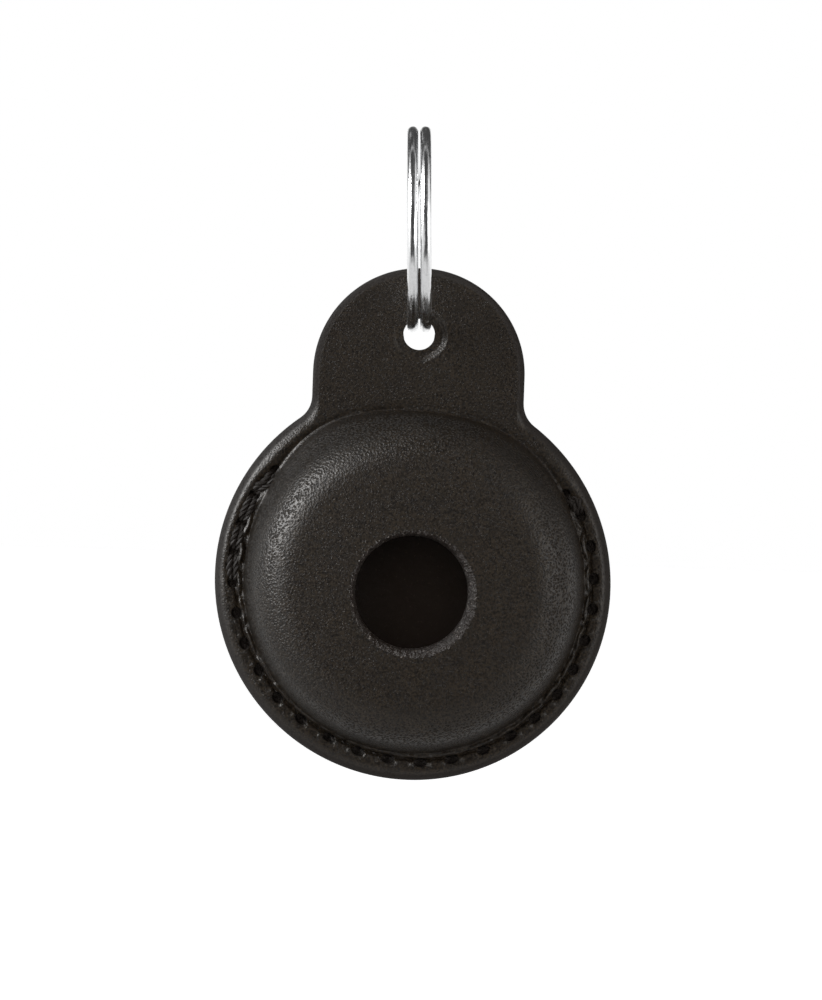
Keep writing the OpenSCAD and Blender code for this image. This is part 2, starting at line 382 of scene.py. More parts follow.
def stray_at(strayed, position):
    """The stray at a place between two holes"""
    position = min(len(strayed) - 1, max(0, position))
    low = min(int(position), len(strayed) - 2)
    part = position - low
    return Vector(strayed[low]).lerp(Vector(strayed[low + 1]), part)


def seam_place(seam, strayed, position, along=0, out=0):
    """A place by the seam: its position counted in holes, then a way along it and outwards"""
    stray = stray_at(strayed, position)
    turn = seam.first + position * seam.step + (along + stray.x) / seam.radius
    return Vector(seam.shift) + (seam.radius + out + stray.y) * direction(turn)


def seam_position(seam, strayed, place):
    """A place's position along the seam, counted in holes, and how far out of the seam it lies"""
    spot = place - Vector(seam.shift)
    whole = FULL_TURN / seam.step
    position = ((math.atan2(spot.y, spot.x) - seam.first) / seam.step) % whole
    if position > (whole + seam.holes - 1) / 2:
        position -= whole
    stray = stray_at(strayed, position)
    return position - stray.x / (seam.radius * seam.step), spot.length - seam.radius - stray.y


def seam_relief(seam, strayed, place, gap):
    """What the stitching does to the leather's height at a place. The gap is how far the dome's
    foot lies from the seam."""
    crease_width, bank_place, bank_width = 0.12 * MM, 0.74 * MM, 0.25 * MM
    fold_place, fold_length, fold_side, fold_width = 0.22 * MM, 0.14 * MM, 0.28 * MM, 0.34 * MM
    crumple_place, crumple_width, pillow_width = 0.3 * MM, 0.75 * MM, 0.5 * MM

    position, out = seam_position(seam, strayed, place)
    last = seam.holes - 1
    pitch = seam.radius * seam.step
    past = max(0, -position, position - last) * pitch
    if past > SEAM_PAST or abs(out) > SEAM_SIDE:
        return 0
    along = (position - min(last, max(0, round(position)))) * pitch
    on_seam = 1 - smooth(0, 0.8 * MM, past)
    pull = rough(place.x, place.y, 1.1 * MM, PULL)
    uneven = 1 + 0.8 * rough(place.x, place.y, 6 * MM, LIP_SIZES)

    # The groove is deepest between two holes, and wide under a double stitch
    middle = 0.5 - 0.5 * math.cos(FULL_TURN * position) if past == 0 else 0
    double = 1 - smooth(-0.2, 0.2, min(position - seam.locked, last - position - seam.locked_end))
    width = seam.groove_width + (seam.locked_width - seam.groove_width) * double
    run_out = 1 - smooth(0, 0.6 * MM, past)
    depth = seam.groove_depth * (0.5 + 0.5 * middle) * run_out * (1 + 0.5 * pull)
    height = -depth * mound(out + seam.groove_place * (1 - double), width)

    # A lip and a crease run round the dome's side of a hole, lower where the dome is close or far
    oval = math.hypot(1.7 * along / seam.hole_length, 2 * out / seam.hole_width)
    beyond = (oval - 1) * seam.hole_width / 2
    dome_side = smooth(0.1 * MM, -0.35 * MM, out) * uneven
    room = ((0.4 + 0.6 * smooth(0.5 * MM, 1.1 * MM, gap))
            * (1 - 0.55 * smooth(1.35 * MM, 1.8 * MM, gap)))
    lip = seam.lip_height * dome_side * room * mound(beyond - seam.lip_place, seam.lip_width)
    height += lip * (1 + 0.4 * pull)
    height -= seam.crease_depth * dome_side * room * mound(beyond - seam.crease_place, crease_width)

    # A bank fills the way to a near dome
    near_dome = 1 - smooth(1.0 * MM, 1.4 * MM, gap)
    bank = seam.bank_height * on_seam * near_dome * mound(out + bank_place, bank_width)
    height += bank * (1 + 1.2 * pull)

    # Small folds at a hole's ends, and fine crumples all along
    folds = (mound(abs(along) - seam.hole_length / 2 - fold_place, fold_length)
             * mound(out - fold_side, fold_width))
    height += seam.pucker * uneven * on_seam * folds
    fine = (rough(place.x, place.y, 0.36 * MM, CRUMPLES)
            + 0.6 * rough(place.x, place.y, 0.2 * MM, FINE_CRUMPLES))
    height += seam.crumple * on_seam * fine * mound(out + crumple_place, crumple_width)
    swell = seam.pillow_height * mound(out - seam.pillow_place, pillow_width) * (1 + 0.5 * pull)
    return height + swell * (1 - smooth(3 * MM, SEAM_PAST, past))


# Leather meshes

# The marks of the faces that holes are punched through
RIM_FACE = 1
UNDER_FACE = 2

# One ring of the leather's cross-section: how it is placed, a radius, share or inset, its height
# over the joint, and the zone of the leather that it lies in
Ring = namedtuple("Ring", "kind value height zone")


def arc_points(centre, radius, start, end, steps):
    """Points on an arc of the cross-section, without the first"""
    return [centre + radius * direction(start + (end - start) * k / steps)
            for k in range(1, steps + 1)]


def dome_curve(leather, inset, crown_steps, shoulder_steps):
    """The dome's section from its crown's edge at the window to its wall, drawn in by the inset"""
    crown = Vector((0, leather.dome_height - leather.crown_radius))
    span = leather.crown_radius - leather.shoulder_radius
    shoulder_x = leather.dome_radius - leather.shoulder_radius
    lean = math.acos(shoulder_x / span)
    shoulder = Vector((shoulder_x, crown.y + span * math.sin(lean)))
    start = math.acos(leather.window_rim / leather.crown_radius)
    points = [crown + (leather.crown_radius - inset) * direction(start)]
    points += arc_points(crown, leather.crown_radius - inset, start, lean, crown_steps)
    return points + arc_points(shoulder, leather.shoulder_radius - inset, lean, leather.wall_slope,
                               shoulder_steps)


def foot_curve(leather, steps):
    """The dome's sloping wall from its shoulder down, and the fillet at its foot"""
    top = dome_curve(leather, 0, 1, 1)[-1]
    slope, radius = leather.wall_slope, leather.foot_fillet
    low_y = leather.thickness + radius * (1 - math.sin(slope))
    low = Vector((top.x + (top.y - low_y) * math.tan(slope), low_y))
    centre = Vector((low.x + radius * math.cos(slope), leather.thickness + radius))
    wall = [top.lerp(low, k / steps) for k in range(1, steps + 1)]
    return wall + arc_points(centre, radius, math.pi + slope, 1.5 * math.pi, steps)


def foot_radius(leather):
    """Radius at which the dome's foot meets the flat rim"""
    return foot_curve(leather, 1)[-1].x


def front_rings(leather):
    """The front leather's closed cross-section, from the pocket's foot round by the window"""
    inner = dome_curve(leather, leather.thickness, 4, 6)
    outer = dome_curve(leather, 0, 12, 20)
    window_steps = 13
    rings = [Ring("dome", leather.pocket_radius, 0, "inside")]
    rings += [Ring("dome", point.x, point.y, "inside") for point in reversed(inner)]
    rings += [Ring("window", k / window_steps, 0, "cut") for k in range(window_steps + 1)]
    rings += [Ring("dome", point.x, point.y, "face") for point in outer + foot_curve(leather, 4)]
    return rings + rim_rings(leather) + under_rings()


def back_rings(leather):
    """The back leather's cross-section, from its outer face's middle to its inner face's"""
    steps, inner_steps = 14, 6
    flat = foot_radius(leather)
    rings = [Ring("dome", flat * (k / steps) ** 0.7, leather.thickness, "face")
             for k in range(steps + 1)]
    rings += rim_rings(leather) + under_rings()
    return rings + [Ring("dome", leather.pocket_radius * (1 - k / inner_steps), 0, "inside")
                    for k in range(1, inner_steps + 1)]


def rim_rings(leather):
    """The flat rim and the burnished edge, shared by both leathers"""
    steps = 34
    rings = [Ring("rim", k / steps, leather.thickness, "face") for k in range(1, steps + 1)]
    corner = leather.edge_radius
    for share_in in (0.78, 0.56, 0.34, 0.12):
        inset = corner + (RIM_INSET - corner) * share_in
        rings.append(Ring("edge", inset, leather.thickness, "face"))
    for degrees in range(15, 91, 15):
        turn = math.radians(degrees)
        rings.append(Ring("edge", corner * (1 - math.sin(turn)),
                          leather.thickness - corner * (1 - math.cos(turn)), "edge"))
    for inset, height in ((0, 0.55), (0, 0.16), (0.04, 0.06), (JOINT_INSET / MM, 0)):
        rings.append(Ring("edge", inset * MM, height * MM, "edge"))
    return rings


def under_rings():
    """The face that lies on the other leather, from the edge in to the pocket"""
    steps = 8
    return [Ring("under", 1 - k / steps, 0, "inside") for k in range(1, steps + 1)]


def window_place(leather, part, turn):
    """A place on the window's cut edge, from its inner edge at 0 to its rim at 1"""
    bend = part * math.pi / 2
    spread = 1 - math.cos(bend)
    wider = leather.window_rim - WINDOW_RADIUS + WINDOW_TIGHT
    radius = WINDOW_RADIUS - WINDOW_TIGHT + wider * spread
    centre = WINDOW_MIDDLE + Vector(leather.window_slant) * (spread - 0.5)
    low = crown_height(leather, leather.window_rim, leather.thickness)
    high = crown_height(leather, leather.window_rim, 0)
    return centre + radius * direction(turn), low + (high - low) * math.sin(bend)


def frayed_window(leather, part, turn):
    """A place on the window's cut edge and its height, both moved by the raw fibres"""
    place, height = window_place(leather, part, turn)
    fray = leather.window_fray * (0.25 + part)
    tuft = (rough(place.x, place.y, 0.5 * MM, 2 * height / MM)
            + rough(place.x, place.y, 0.22 * MM, 3 * height / MM))
    place = place + fray * tuft * direction(turn)
    return place, height + fray * rough(place.x, place.y, 0.25 * MM, TORN_WINDOW + 3 * height / MM)


def crown_height(leather, distance, inset):
    """Height of the crown at a distance from the dome's middle"""
    radius = leather.crown_radius - inset
    return leather.dome_height - leather.crown_radius + math.sqrt(radius**2 - distance**2)


def dome_stretch(leather, radius, turn):
    """How far the oval dome and its drawn-out foot stand out of a circle of the given radius"""
    stretch = (leather.dome_oval * (radius / leather.dome_radius) ** 3
               * math.cos(2 * (turn - leather.long_axis)))
    low = smooth(leather.dome_radius - 0.4 * MM, leather.dome_radius + 0.9 * MM, radius)
    for drawn, middle in ((leather.skirt, leather.skirt_turn),
                          (leather.far_skirt, leather.far_skirt_turn)):
        fade = mound(math.remainder(turn - middle, FULL_TURN), leather.skirt_spread)
        stretch += drawn * low * fade
    return stretch


def dome_place(leather, radius, turn):
    """A place on the dome: its rings shift from the window's middle to the dome's own"""
    near = 1 - smooth(leather.window_rim, leather.dome_radius * 0.75, radius)
    window = WINDOW_MIDDLE + Vector(leather.window_slant) / 2
    centre = Vector(leather.dome_shift).lerp(window, near)
    return centre + (radius + dome_stretch(leather, radius, turn)) * direction(turn)


def from_foot(leather, place):
    """How far a place lies outside the foot of the dome"""
    spot = place - Vector(leather.dome_shift)
    foot = foot_radius(leather)
    return spot.length - foot - dome_stretch(leather, foot, math.atan2(spot.y, spot.x))


def ring_place(leather, ring, turn):
    """Where a ring of the cross-section outside the window runs at a turn, on the bench"""
    if ring.kind == "dome":
        return dome_place(leather, ring.value, turn)
    if ring.kind == "edge":
        return reach(leather, turn, ring.value) * direction(turn)
    if ring.kind == "rim":
        inner = dome_place(leather, foot_radius(leather), turn)
        return inner.lerp(reach(leather, turn, RIM_INSET) * direction(turn), ring.value)
    inner = dome_place(leather, leather.pocket_radius, turn)
    return inner.lerp(reach(leather, turn, JOINT_INSET) * direction(turn), ring.value)


def face_relief(leather, seam, strayed, place, domed):
    """Height of the worked leather over a flat rim at a place on its face"""
    gap = FLAT_GAP
    height = leather.slack * rough(place.x, place.y, 7 * MM, RIM_WAVES)

    # The disc's rim falls off towards its edge, and the tongue's doesn't
    on_disc = 1 - smooth(leather.disc_radius, leather.disc_radius + 1.5 * MM, place.length)
    from_edge = reach(leather, math.atan2(place.y, place.x), 0) - place.length
    rolled = max(0, 1 - from_edge / leather.edge_roll)
    height -= leather.edge_fall * on_disc * rolled**2

    # The groove at the dome's foot, and the seam
    if domed:
        outside = from_foot(leather, place)
        gap = outside - (place - Vector(seam.shift)).length + seam.radius
        wave = rough(place.x, place.y, 2.5 * MM, FOOT_WAVES)
        height -= leather.foot_depth * mound(outside - 0.05 * MM, 0.28 * MM) * (1 + 0.3 * wave)
    height += seam_relief(seam, strayed, place, gap)

    # The dimple round the ring's hole, deepest at its right, and shallower on the back
    from_hole = place - ring_hole(leather)
    slip = 0.25 * MM * rough(place.x, place.y, 2.2 * MM, TORN_DIMPLE)
    sink = 1 - smooth(leather.dimple_radius * 0.8, leather.dimple_radius * 1.0,
                      from_hole.length + slip)
    lean = 0.55 + 0.42 * (from_hole.x - 0.35 * from_hole.y) / leather.dimple_radius
    return height - leather.dimple_depth * lean * sink * (1 if domed else 0.35)


def ring_hole(leather):
    """The middle of the ring's hole, on the bench"""
    return Vector((RING_HOLE.x, RING_HOLE.z)) + Vector(leather.hole_slip)


def roll_rings(rings):
    """A sheet of faces with one row of points for each ring, and one column for each turn"""
    mesh = bmesh.new()
    rows = len(rings) - 1
    bmesh.ops.create_grid(mesh, x_segments=TURNS, y_segments=rows, size=0.5,
                          matrix=Matrix.Translation((0.5, 0.5, 0)))
    row = mesh.verts.layers.float.new("row")
    turn = mesh.verts.layers.float.new("turn")
    for vert in mesh.verts:
        vert[row] = round(vert.co.y * rows)
        vert[turn] = (round(vert.co.x * TURNS) % TURNS) * FULL_TURN / TURNS
    return mesh


def punch(mesh, faces, centre, across, along, tilt):
    """Takes the faces under a punch away, and rounds the edge that is left to the punch's oval"""
    spin = Matrix.Rotation(-tilt, 2)
    unspin = Matrix.Rotation(tilt, 2)

    def inside(place):
        local = spin @ (place - centre)
        return (local.x / across) ** 2 + (local.y / along) ** 2

    taken = [face for face in faces if inside(face.calc_center_median().xy) < 1]
    rim = {edge for face in taken for edge in face.edges
           if any(other not in taken for other in edge.link_faces)}
    corners = {vert for edge in rim for vert in edge.verts}
    for vert in corners:
        local = spin @ (vert.co.xy - centre)
        scale = 1 / math.sqrt((local.x / across) ** 2 + (local.y / along) ** 2)
        vert.co.xy = centre + unspin @ (local * scale)
    bmesh.ops.delete(mesh, geom=taken, context="FACES")
    return [edge for edge in rim if edge.is_valid]


def drive_in(mesh, edges, centre, depth, narrowing):
    """Draws a hole's edge one step deeper and narrower, and gives the new edge"""
    made = bmesh.ops.extrude_edge_only(mesh, edges=edges)["geom"]
    for vert in (item for item in made if isinstance(item, bmesh.types.BMVert)):
        vert.co.xy = centre + (vert.co.xy - centre) * narrowing
        vert.co.z -= depth
    return [item for item in made if isinstance(item, bmesh.types.BMEdge)]


def draw_rings(mesh, leather, rings):
    """Puts every point on its ring of the cross-section, and marks points and faces"""
    row = mesh.verts.layers.float["row"]
    turn = mesh.verts.layers.float["turn"]
    # The hole layer marks the stitch holes' deep steps, which get painted shade
    mesh.verts.layers.float.new("hole")
    marks = {zone: mesh.verts.layers.float.new(zone) for zone in ("cut", "inside", "edge")}
    part = mesh.faces.layers.int.new("part")
    for face in mesh.faces:
        ring = rings[int(min(vert[row] for vert in face.verts))]
        if ring.kind in ("rim", "edge") and ring.zone == "face":
            face[part] = RIM_FACE
        elif ring.kind == "under":
            face[part] = UNDER_FACE
    for vert in mesh.verts:
        ring = rings[int(vert[row])]
        if ring.kind == "window":
            place, height = frayed_window(leather, ring.value, vert[turn])
        else:
            place, height = ring_place(leather, ring, vert[turn]), ring.height
        vert.co = (place.x, place.y, height)
        for zone, mark_layer in marks.items():
            vert[mark_layer] = ring.zone == zone


def work_face(mesh, leather, seam, rings, domed):
    """Presses the seam, the creases and the soft waves into the leather's outer face"""
    wall, line_width = 0.35 * MM, 0.08 * MM
    row = mesh.verts.layers.float["row"]
    edge = mesh.verts.layers.float["edge"]
    strayed = strays(seam)
    for vert in mesh.verts:
        ring = rings[int(round(vert[row]))]
        if ring.zone not in ("face", "edge"):
            continue
        place = vert.co.xy.copy()
        fade = 1
        if ring.zone == "edge":
            fade = smooth(0, leather.thickness - leather.edge_radius, vert.co.z)
        elif ring.kind == "dome" and domed:
            fade = smooth(-wall, 0, from_foot(leather, place))
            vert.co.z += leather.slack * rough(place.x, place.y, 9 * MM, DOME_WAVES)
        if fade > 0:
            vert.co.z += fade * face_relief(leather, seam, strayed, place, domed)
        if ring.kind == "edge":
            line = mound(ring.value - leather.crease_inset, line_width)
            wave = rough(place.x, place.y, 4 * MM, EDGE_LINE)
            vert.co.z -= leather.crease_depth * line * (1 + wave)
            vert[edge] = max(vert[edge], 1 - smooth(BURNISHED, UNBURNISHED, ring.value))


def punch_seam(mesh, seam):
    """Punches the blind stitch holes into the leather's face"""
    part = mesh.faces.layers.int["part"]
    hole_shade_mark = mesh.verts.layers.float["hole"]
    strayed = strays(seam)
    centres = [seam_place(seam, strayed, k) for k in range(seam.holes)]
    near = [[] for _ in centres]
    for face in mesh.faces:
        middle = face.calc_center_median().xy
        position = seam_position(seam, strayed, middle)[0]
        hole = min(seam.holes - 1, max(0, round(position)))
        if face[part] == RIM_FACE and (middle - centres[hole]).length < seam.hole_length:
            near[hole].append(face)
    for centre, faces in zip(centres, near):
        tilt = math.atan2(centre.y - seam.shift[1], centre.x - seam.shift[0])
        drawn = 0.22 * rough(centre.x, centre.y, 11 * MM, HOLE_SHAPES)
        edges = punch(mesh, faces, centre, seam.hole_width / 2 * (1 - drawn),
                      seam.hole_length / 2 * (1 + drawn), tilt)
        # The deeper steps of each hole are marked for painted shade
        for deeper, narrowing, shading in HOLE_STEPS:
            edges = drive_in(mesh, edges, centre, deeper * seam.hole_depth, narrowing)
            for corner in (corner for edge in edges for corner in edge.verts):
                corner[hole_shade_mark] = shading
        bmesh.ops.holes_fill(mesh, edges=edges, sides=0)


def punch_ring_hole(mesh, leather):
    """Punches the ring's hole through both faces and joins them by its wall"""
    part = mesh.faces.layers.int["part"]
    cut = mesh.verts.layers.float["cut"]
    hole = ring_hole(leather)
    radius = leather.ring_hole_radius
    rim_depth, narrowing = 0.05 * MM, 0.985
    near = [face for face in mesh.faces
            if (face.calc_center_median().xy - hole).length < 2 * radius]
    upper = punch(mesh, [face for face in near if face[part] == RIM_FACE], hole, radius, radius, 0)
    upper = drive_in(mesh, upper, hole, rim_depth, narrowing)
    lower = punch(mesh, [face for face in near if face.is_valid and face[part] == UNDER_FACE],
                  hole, radius, radius, 0)
    for face in bmesh.ops.bridge_loops(mesh, edges=upper + lower)["faces"]:
        for vert in face.verts:
            vert[cut] = 1


def leather_mesh(leather, seam, rings, domed):
    """One leather, face up on the bench, with its holes punched, its worn edge marked, and painted
    shade marked deep in its stitch holes
    """
    mesh = roll_rings(rings)
    draw_rings(mesh, leather, rings)
    hole = ring_hole(leather)
    part = mesh.faces.layers.int["part"]
    finer_radius = leather.dimple_radius * 1.6
    near = {edge for face in mesh.faces
            if face[part] and (face.calc_center_median().xy - hole).length < finer_radius
            for edge in face.edges}
    bmesh.ops.subdivide_edges(mesh, edges=list(near), cuts=1, use_grid_fill=True)
    work_face(mesh, leather, seam, rings, domed)
    bmesh.ops.remove_doubles(mesh, verts=mesh.verts[:], dist=0.002 * MM)
    punch_seam(mesh, seam)
    punch_ring_hole(mesh, leather)
    bmesh.ops.recalc_face_normals(mesh, faces=mesh.faces[:])
    return mesh


def finish_piece(mesh, name, body, node, material, turn_over=False):
    """Stands a bench mesh up and gives it its body, its material and the node that it stands for"""
    if turn_over:
        bmesh.ops.scale(mesh, vec=(1, 1, -1), verts=mesh.verts[:])
        bmesh.ops.reverse_faces(mesh, faces=mesh.faces[:])
    bmesh.ops.transform(mesh, matrix=STAND_UP, verts=mesh.verts[:])
    data = bpy.data.meshes.new(name)
    mesh.to_mesh(data)
    mesh.free()
    finish_object(data, name, body, node, material)


def finish_object(data, name, body, node, material):
    """Puts a finished mesh into the scene as a piece that stands for a node of the model"""
    data.shade_smooth()
    data.set_sharp_from_angle(angle=SHARP)
    data.materials.clear()
    data.materials.append(material)
    piece = bpy.data.objects.new(name, data)
    bpy.context.scene.collection.objects.link(piece)
    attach(piece, body)
    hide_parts(node)


# Tubes along a path


def swept(name, paths, radius, sides):
    """Round tubes along the given paths of points, as one mesh in the frame"""
    curve = bpy.data.curves.new(name, "CURVE")
    curve.dimensions = "3D"
    curve.bevel_depth = radius
    curve.bevel_resolution = (sides - 4) // 2
    curve.use_fill_caps = True
    for path in paths:
        spline = curve.splines.new("POLY")
        spline.points.add(len(path) - 1)
        for point, place in zip(spline.points, path):
            point.co = (*(STAND_UP @ place), 1)
    holder = bpy.data.objects.new(name + "_path", curve)
    bpy.context.scene.collection.objects.link(holder)
    depsgraph = bpy.context.evaluated_depsgraph_get()
    data = bpy.data.meshes.new_from_object(holder.evaluated_get(depsgraph))
    bpy.data.objects.remove(holder)
    bpy.data.curves.remove(curve)
    data.name = name
    return data


def resample(points, step):
    """A smooth path through the points, with places at an even step"""
    path = []
    for k in range(len(points) - 1):
        before = points[max(k - 1, 0)]
        start, end = points[k], points[k + 1]
        after = points[min(k + 2, len(points) - 1)]
        parts = max(2, round((end - start).length / step))
        for n in range(parts):
            t = n / parts
            path.append(0.5 * (2 * start + (end - before) * t
                               + (2 * before - 5 * start + 4 * end - after) * t**2
                               + (3 * start - before - 3 * end + after) * t**3))
    path.append(points[-1])
    return path


def plies(path, thread, radius):
    """The thread's plies, wound round its path a little unevenly"""
    normal = Vector((0, 0, 1))
    run = 0
    wound = [[] for _ in range(thread.plies)]
    for k, place in enumerate(path):
        ahead = path[min(k + 1, len(path) - 1)]
        behind = path[max(k - 1, 0)]
        tangent = (ahead - behind).normalized()
        normal = (normal - normal.dot(tangent) * tangent).normalized()
        side = tangent.cross(normal)
        run += (place - behind).length
        slip = 1.1 * rough(run, 0, 3.1 * MM, TWIST)
        for n, ply in enumerate(wound):
            turn = FULL_TURN * (run / thread.lay + n / thread.plies) + slip
            lie = radius * (1 + 0.35 * rough(run, n * thread.lay, 0.8 * MM, PLY_SPREAD))
            ply.append(place + lie * (math.cos(turn) * normal + math.sin(turn) * side))
    return wound


def is_locked(seam, gap):
    """Whether the stitch over a gap is sewn twice"""
    return gap < seam.locked or gap >= seam.holes - 1 - seam.locked_end


def strand(seam, thread, strayed, gaps, side, offset):
    """One pass of the thread over some gaps, changing sides in every hole. In a double stitch it
    runs beside the middle by the offset."""
    points = []
    pitch = seam.radius * seam.step
    for gap in gaps:
        here = side if gap % 2 == 0 else -side
        top = thread.locked_height if is_locked(seam, gap) else thread.sunk_height
        out = here * offset if is_locked(seam, gap) else 0
        if points:
            crossing = seam_place(seam, strayed, gap, 0, -0.5 * out)
            points.append(Vector((crossing.x, crossing.y, 0)))
        spots = [(gap, along, rise) for along, rise in (*STITCH_RISE, (pitch / 2, 1))]
        spots += [(gap + 1, -along, rise) for along, rise in reversed(STITCH_RISE)]
        for hole, along, rise in spots:
            place = seam_place(seam, strayed, hole, along, out * rise)
            points.append(Vector((place.x, place.y, here * rise * top)))
    return points


# Shaders


def feed(tree, socket, value):
    """Links a node's input to a result, or sets it to a plain value"""
    if isinstance(value, bpy.types.NodeSocket):
        tree.links.new(value, socket)
    else:
        socket.default_value = value


def add_node(tree, kind, inputs=None, **settings):
    """A shader node with its settings made and its inputs linked or set"""
    made = tree.nodes.new("ShaderNode" + kind)
    for name, value in settings.items():
        setattr(made, name, value)
    for name, value in (inputs or {}).items():
        feed(tree, made.inputs[name], value)
    return made


def maths(tree, operation, *values):
    """A maths node's result"""
    return add_node(tree, "Math", dict(enumerate(values)), operation=operation).outputs[0]


def plus(tree, first, second):
    """Two values added"""
    return maths(tree, "ADD", first, second)


def times(tree, first, second):
    """Two values multiplied"""
    return maths(tree, "MULTIPLY", first, second)


def over(tree, first, second):
    """One value divided by another"""
    return maths(tree, "DIVIDE", first, second)


def vector_maths(tree, operation, inputs):
    """A vector maths node's results"""
    return add_node(tree, "VectorMath", inputs, operation=operation).outputs


def blend_colours(tree, factor, first, second):
    """A colour between two, by the factor"""
    return add_node(tree, "Mix", {0: factor, 6: first, 7: second}, data_type="RGBA").outputs[2]


def ramp(tree, value, low, high, out_low=0.0, out_high=1.0):
    """A value mapped from one range to another, and kept inside it"""
    return add_node(tree, "MapRange", {"Value": value, "From Min": low, "From Max": high,
                                       "To Min": out_low, "To Max": out_high}).outputs[0]


def clouds(tree, vector, scale, detail, roughness=0.5):
    """A noise texture's value"""
    return add_node(tree, "TexNoise", {"Vector": vector, "Scale": scale, "Detail": detail,
                                       "Roughness": roughness}).outputs["Fac"]


def axes(tree, vector):
    """A vector's three parts"""
    return add_node(tree, "SeparateXYZ", {0: vector}).outputs


def new_group(name, **sizes):
    """An empty shader group that takes a vector and some sizes, and what it is given"""
    group = bpy.data.node_groups.new(name, "ShaderNodeTree")
    group.interface.new_socket(name="Vector", in_out="INPUT", socket_type="NodeSocketVector")
    for size, value in sizes.items():
        made = group.interface.new_socket(name=size, in_out="INPUT", socket_type="NodeSocketFloat")
        made.default_value = value
    return group, group.nodes.new("NodeGroupInput").outputs


def close_group(group, **results):
    """Gives a group one output for each of its results"""
    for name in results:
        group.interface.new_socket(name=name, in_out="OUTPUT", socket_type="NodeSocketFloat")
    end = group.nodes.new("NodeGroupOutput")
    for name, socket in results.items():
        group.links.new(socket, end.inputs[name])
    return group


def place_group(tree, group, **inputs):
    """The results of a group that is placed in a material with its own values"""
    made = tree.nodes.new("ShaderNodeGroup")
    made.node_tree = group
    for name, value in inputs.items():
        feed(tree, made.inputs[name], value)
    return made.outputs


def pebble_group():
    """Full-grain leather: low pebbles with fine creases, pores between them, and dark specks"""
    group, given = new_group("Pebble grain", Size=0.4 * MM, Fine=0.4)
    place = given["Vector"]
    scale = over(group, 1.0, given["Size"])
    pebbles = add_node(group, "TexVoronoi", {"Vector": place, "Scale": scale, "Smoothness": 0.35},
                       feature="SMOOTH_F1")
    pores = add_node(group, "TexVoronoi", {"Vector": place, "Scale": times(group, scale, 0.8)})
    creases = clouds(group, place, times(group, scale, 1.7), 3.0, 0.65)
    specks = clouds(group, place, times(group, scale, 1.05), 3.0, 0.75)
    patches = clouds(group, place, times(group, scale, 0.1), 2.0)
    tops = ramp(group, pebbles.outputs["Distance"], 0.75, 0.1)
    pits = ramp(group, pores.outputs["Distance"], 0.4, 0.22)
    fine = times(group, given["Fine"], ramp(group, patches, 0.38, 0.62, 0.35))
    height = plus(group, tops, times(group, creases, fine))
    height = maths(group, "SUBTRACT", height, times(group, pits, 1.05))
    return close_group(group, Height=height, Pits=pits, Speckle=ramp(group, specks, 0.42, 0.6))


def mottle_group():
    """Soft blotches in the dye"""
    group, given = new_group("Dye mottle", Size=3 * MM)
    wide = clouds(group, given["Vector"], over(group, 1.0, given["Size"]), 5.0, 0.6)
    return close_group(group, Mottle=ramp(group, wide, 0.3, 0.7))


def stretched_grain_group():
    """Grain pulled out into short dashes that run out from the dome's middle"""
    group, given = new_group("Stretched grain", Reach=16 * MM, Width=0.3 * MM, Length=0.6 * MM)
    flat = vector_maths(group, "MULTIPLY", {0: given["Vector"], 1: (1, 0, 1)})[0]
    away = vector_maths(group, "LENGTH", {0: flat})["Value"]
    way = vector_maths(group, "NORMALIZE", {0: flat})[0]
    dashes = over(group, given["Reach"], given["Width"])
    around = axes(group, vector_maths(group, "SCALE", {0: way, "Scale": dashes})[0])
    down = over(group, plus(group, away, axes(group, given["Vector"])["Y"]), given["Length"])
    vector = add_node(group, "CombineXYZ", {"X": around["X"], "Y": down, "Z": around["Z"]})
    cells = add_node(group, "TexVoronoi", {"Vector": vector.outputs[0], "Scale": 1.0})
    pits = ramp(group, cells.outputs["Distance"], 0.52, 0.3)
    swells = ramp(group, cells.outputs["Distance"], 0.3, 0.8)
    return close_group(group, Height=maths(group, "SUBTRACT", swells, pits), Pits=pits)


def fibre_group():
    """Torn and brushed fibres of raw leather"""
    group, given = new_group("Raw fibres", Size=0.12 * MM)
    tufts = clouds(group, given["Vector"], over(group, 1.0, given["Size"]), 6.0, 0.75)
    return close_group(group, Height=tufts, Tips=ramp(group, tufts, 0.59, 0.66))


def drawn_group():
    """Fine lines drawn along a ring's wire, round its middle"""
    group, given = new_group("Drawn wire", Width=0.2 * MM, Length=4 * MM)
    flat = vector_maths(group, "MULTIPLY", {0: given["Vector"], 1: (0, 1, 1)})[0]
    away = vector_maths(group, "LENGTH", {0: flat})["Value"]
    parts = axes(group, given["Vector"])
    vector = add_node(group, "CombineXYZ", {
        "X": over(group, plus(group, parts["X"], away), given["Width"]),
        "Y": over(group, parts["Y"], given["Length"]),
        "Z": over(group, parts["Z"], given["Length"])})
    return close_group(group, Lines=clouds(group, vector.outputs[0], 1.0, 3.0))


def mark(tree, name):
    """A mark that the mesh carries, as a value"""
    return add_node(tree, "Attribute", attribute_name=name).outputs["Fac"]


def new_material(name):
    """A material, its nodes and its principled shader"""
    material = bpy.data.materials.new(name)
    material.use_nodes = True
    tree = material.node_tree
    return material, tree, tree.nodes["Principled BSDF"]


def object_place(tree):
    """The place on a piece, which its patterns follow"""
    return add_node(tree, "TexCoord").outputs["Object"]


def raise_surface(tree, shader, height, distance, strength=1.0):
    """Lets a height raise a material's surface by a distance"""
    bump = add_node(tree, "Bump", {"Strength": strength, "Distance": distance, "Height": height})
    tree.links.new(bump.outputs["Normal"], shader.inputs["Normal"])


def opaque(rgb):
    """A colour with full alpha"""
    return (*rgb, 1)


